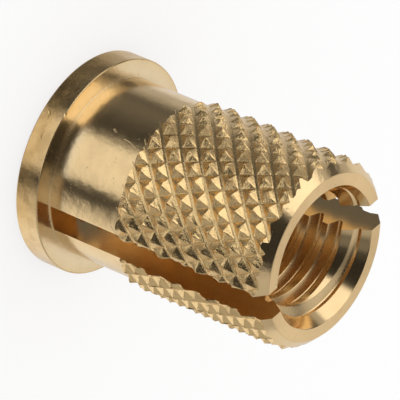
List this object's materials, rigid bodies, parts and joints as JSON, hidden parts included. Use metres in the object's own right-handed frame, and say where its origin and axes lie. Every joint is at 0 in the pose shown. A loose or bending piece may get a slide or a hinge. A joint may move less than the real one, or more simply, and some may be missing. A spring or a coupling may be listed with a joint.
{
  "type": "threaded insert",
  "caption": "Slotted press-in threaded insert: a flanged brass sleeve with a diamond knurl, a saw slot across the body and a threaded through bore.",
  "frame": {"origin": "centre of the flange's outer face, on which the insert stands", "axes": "+Z along the bore axis from the flange to the slotted mouth; the slot's long direction is X"},
  "size_m": [0.0096, 0.0096, 0.0127],
  "materials": {
    "brass": "bright machined brass: polished turned shank and flange, crisp knurl with fine tool marks, matte sawn and faced ends"
  },
  "bodies": {
    "root": {"insert": "brass"}
  },
  "joints": []
}
